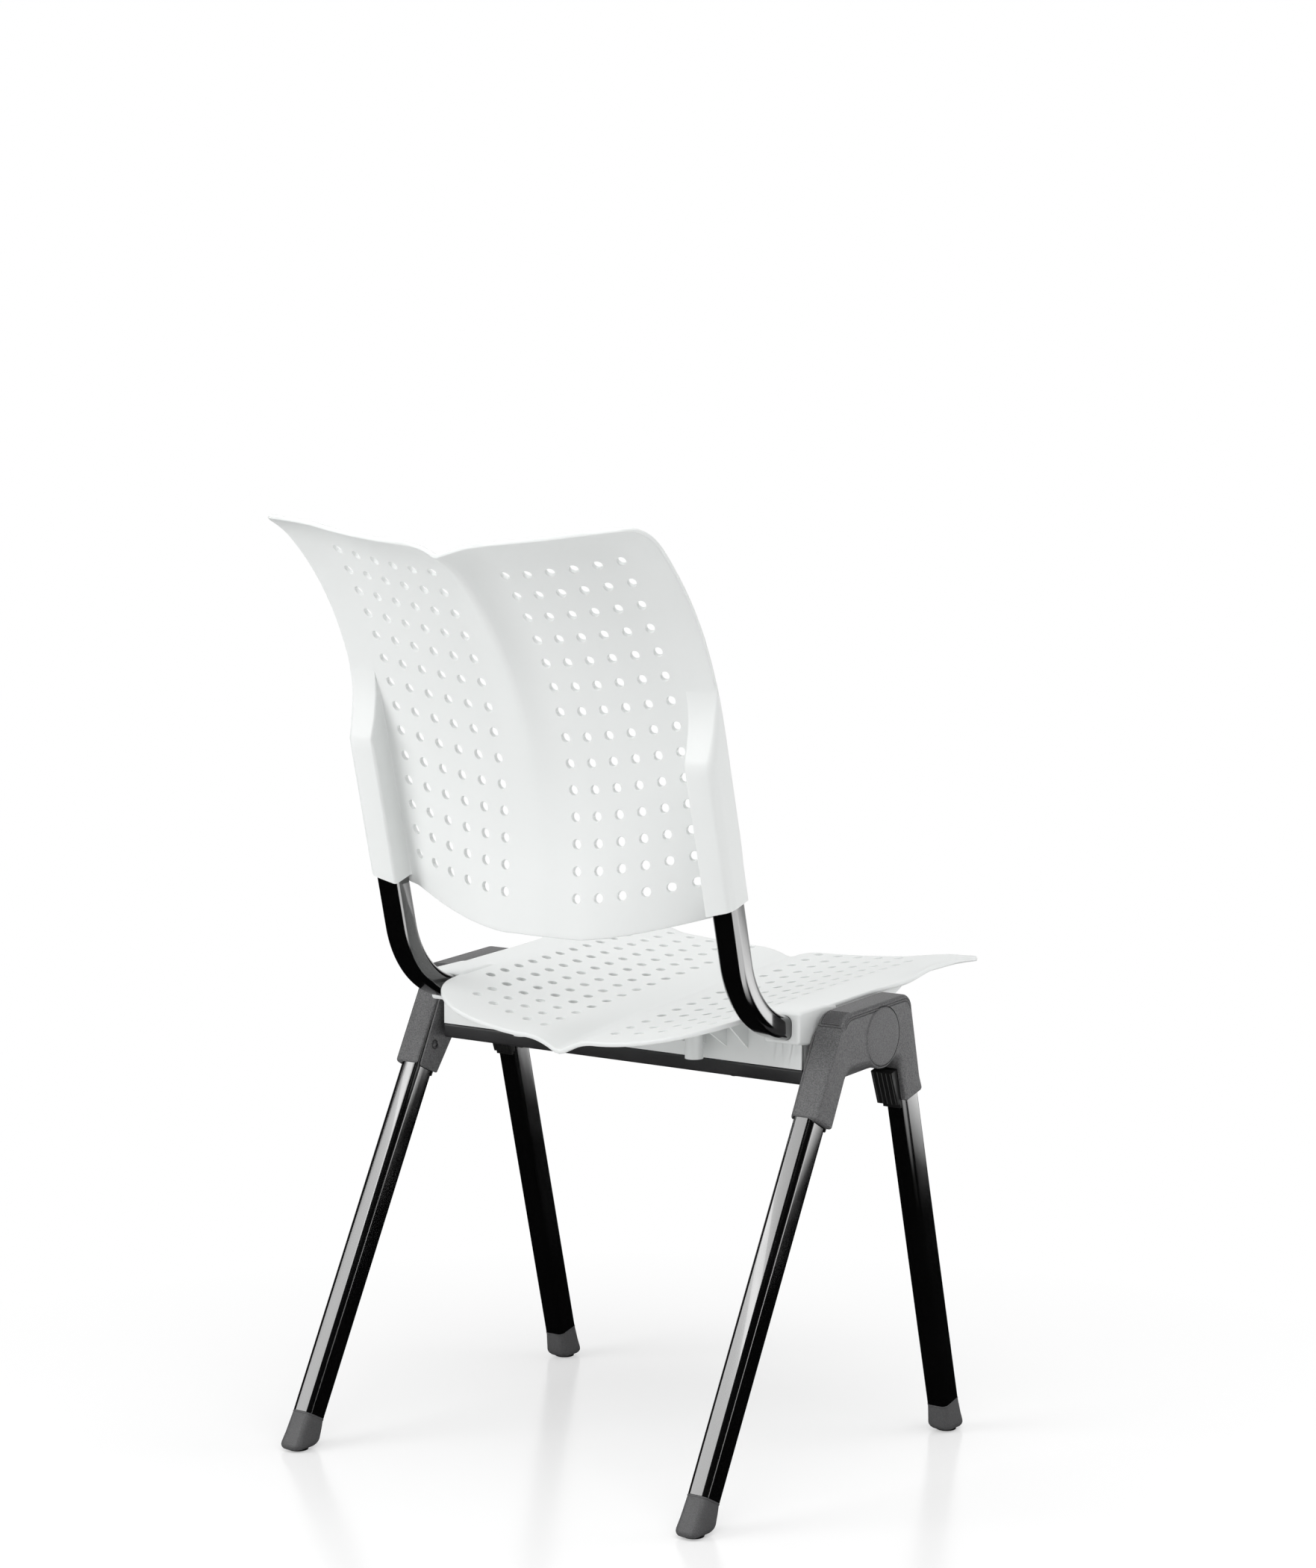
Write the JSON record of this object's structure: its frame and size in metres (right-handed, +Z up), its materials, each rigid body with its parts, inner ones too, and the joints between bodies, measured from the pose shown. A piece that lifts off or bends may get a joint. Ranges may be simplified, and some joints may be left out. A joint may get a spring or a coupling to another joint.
{
  "type": "conference chair",
  "caption": "Four-legged conference chair with winged perforated seat and back, oval tube frame and tilt-hub side brackets.",
  "frame": {"origin": "bottom centre of the bounding box, on the floor", "axes": "the chair faces -Y, +X is the sitter's left, +Z is up"},
  "size_m": [0.5166, 0.6083, 0.9281],
  "materials": {
    "shell_plastic": "satin moulded",
    "tube_black": "gloss black powder coat",
    "bar_dark": "satin dark grey paint",
    "pivot_steel": "turned",
    "insert_black": "moulded black",
    "rubber_black": "matt",
    "bracket_grey": "fine textured",
    "cap_grey": "fine textured",
    "screw_black": "black zinc"
  },
  "bodies": {
    "base": {"base_stretcher": "bar_dark", "bracket_left": "bracket_grey", "bracket_cover_left": "bracket_grey", "hub_disc_left": "bracket_grey", "torsion_bush_left": "rubber_black", "stacking_pad_left": "rubber_black", "rear_leg_left": "tube_black", "rear_foot_cap_left": "cap_grey", "rear_glide_left": "insert_black", "rear_clamp_left": "insert_black", "rear_leg_screw_left": "screw_black", "rear_cover_screw_left": "screw_black", "front_leg_left": "tube_black", "front_foot_cap_left": "cap_grey", "front_glide_left": "insert_black", "front_clamp_left": "insert_black", "front_leg_screw_left": "screw_black", "front_cover_screw_left": "screw_black", "bracket_right": "bracket_grey", "bracket_cover_right": "bracket_grey", "hub_disc_right": "bracket_grey", "torsion_bush_right": "rubber_black", "stacking_pad_right": "rubber_black", "rear_leg_right": "tube_black", "rear_foot_cap_right": "cap_grey", "rear_glide_right": "insert_black", "rear_clamp_right": "insert_black", "rear_leg_screw_right": "screw_black", "rear_cover_screw_right": "screw_black", "front_leg_right": "tube_black", "front_foot_cap_right": "cap_grey", "front_glide_right": "insert_black", "front_clamp_right": "insert_black", "front_leg_screw_right": "screw_black", "front_cover_screw_right": "screw_black"},
    "carrier": {"seat_shell": "shell_plastic", "back_shell": "shell_plastic", "rear_crossbar": "bar_dark", "front_crossbar": "bar_dark", "back_tube_left": "tube_black", "side_rail_left": "bar_dark", "pivot_arm_left": "bar_dark", "pivot_pin_left": "pivot_steel", "pivot_spacer_left": "insert_black", "rear_seat_screw_left": "screw_black", "front_seat_screw_left": "screw_black", "back_tube_right": "tube_black", "side_rail_right": "bar_dark", "pivot_arm_right": "bar_dark", "pivot_pin_right": "pivot_steel", "pivot_spacer_right": "insert_black", "rear_seat_screw_right": "screw_black", "front_seat_screw_right": "screw_black"}
  },
  "joints": [
    {"name": "seat_tilt", "type": "hinge", "parent": "base", "child": "carrier", "pos_m": [0, -0.06095, 0.425], "axis": [-1, 0, 0], "range_deg": [0, 8], "stiffness_Nm_per_rad": 120, "springref_deg": -6.88}
  ]
}
